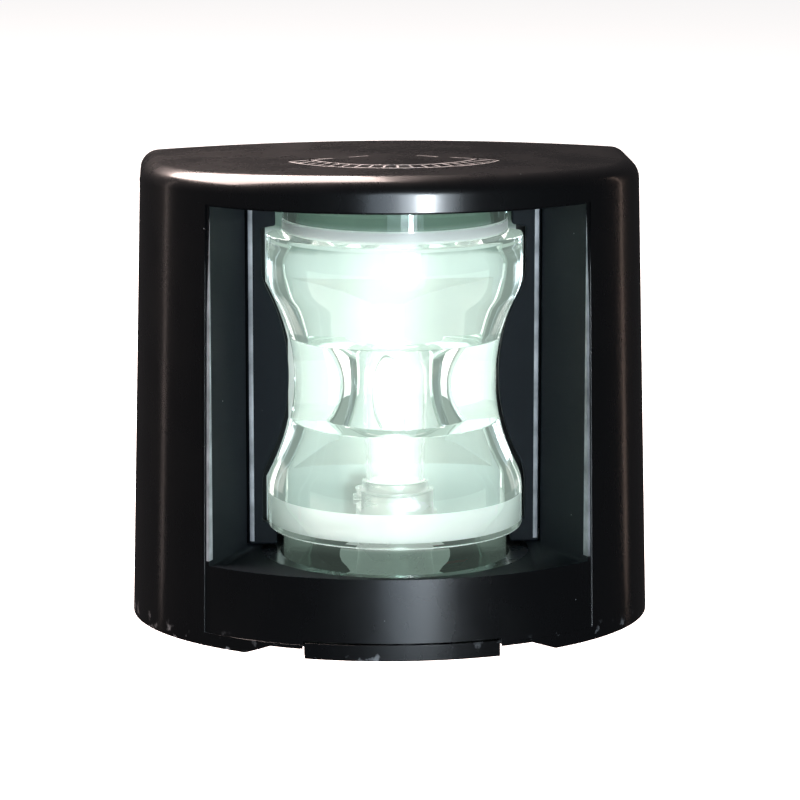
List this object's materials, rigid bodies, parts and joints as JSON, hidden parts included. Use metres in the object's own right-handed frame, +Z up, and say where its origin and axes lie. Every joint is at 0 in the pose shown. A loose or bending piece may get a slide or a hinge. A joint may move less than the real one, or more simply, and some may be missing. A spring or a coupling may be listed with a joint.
{
  "type": "navigation light",
  "caption": "Bulkhead-mounted stern light: gloss black lift-off hood with a recessed window, waisted clear drum lens, bayonet bulb and a screwed base with cable gland.",
  "frame": {"origin": "on the back of the wall gasket, on the middle plane, 52.5 mm above the hood's bottom edge", "axes": "+X right and +Z up as seen from in front, the window faces -Y, the wall is on the +Y side"},
  "size_m": [0.12, 0.08, 0.1072],
  "materials": {
    "gloss_black": "polished moulded plastic, slightly scuffed",
    "satin_black": "fine moulded texture",
    "seal_rubber": "matte",
    "gasket_foam": "closed-cell foam",
    "lens_glass": "polished pressed glass, slightly green",
    "bulb_glass": "clear blown glass",
    "reflector_white": "satin white",
    "steel": "stainless, machined",
    "brass": "drawn, slightly dull",
    "nickel": "nickel-plated brass",
    "aluminium": "rolled sheet",
    "phenolic": "moulded, brown",
    "solder": "solder",
    "filament_lit": "glowing tungsten",
    "polyamide": "natural moulded nylon",
    "wire_red": "PVC sleeve",
    "wire_black": "PVC sleeve"
  },
  "bodies": {
    "base": {"mounting_base": "satin_black", "rear_seal": "seal_rubber", "wall_gasket": "gasket_foam", "latch_pin": "steel", "latch_spring": "steel", "socket_shell": "nickel", "socket_insulator": "phenolic", "socket_screw_left": "steel", "socket_screw_right": "steel", "plunger_spring_left": "steel", "plunger_spring_right": "steel", "terminal_block": "polyamide", "terminal_screw_left": "brass", "terminal_screw_right": "brass", "lead_negative": "wire_black", "lead_positive": "wire_red", "cable_gland_body": "satin_black", "cable_gland_seal": "seal_rubber", "cable_gland_nut": "satin_black"},
    "hood_unit": {"hood": "gloss_black", "sector_screen_left": "gloss_black", "sector_screen_right": "gloss_black", "lens": "lens_glass", "lens_seal_upper": "seal_rubber", "lens_seal_lower": "seal_rubber", "lens_clamp_ring": "satin_black", "rear_reflector": "reflector_white", "heat_shield": "aluminium", "heat_shield_screw": "steel", "clamp_screw_1": "steel", "clamp_screw_2": "steel", "clamp_screw_3": "steel", "clamp_screw_4": "steel", "reflector_screw_left": "steel", "reflector_screw_right": "steel"},
    "latch": {"release_latch": "gloss_black"},
    "bulb": {"bulb_cap": "nickel", "bulb_glass": "bulb_glass", "bulb_stem": "bulb_glass", "filament_support_short": "steel", "filament_support_long": "steel", "filament": "filament_lit", "bulb_contact_left": "solder", "bulb_contact_right": "solder"},
    "contacts": {"contact_plunger_left": "brass", "contact_plunger_right": "brass"}
  },
  "joints": [
    {"name": "hood_lift", "type": "slide", "parent": "base", "child": "hood_unit", "axis": [0, 0, 1], "range_m": [0, 0.08]},
    {"name": "latch_press", "type": "hinge", "parent": "base", "child": "latch", "pos_m": [0, -0.0706, -0.0451], "axis": [1, 0, 0], "range_deg": [0, 12], "stiffness_Nm_per_rad": 0.02, "springref_deg": -17.19},
    {"name": "bulb_twist", "type": "hinge", "parent": "base", "child": "bulb", "pos_m": [0, -0.0468, 0], "axis": [0, 0, 1], "range_deg": [0, 20]},
    {"name": "contact_press", "type": "slide", "parent": "base", "child": "contacts", "axis": [0, 0, -1], "range_m": [0, 0.0015], "stiffness_N_per_m": 2000, "springref_m": -0.001, "deforming": ["plunger_spring_left", "plunger_spring_right"]}
  ]
}
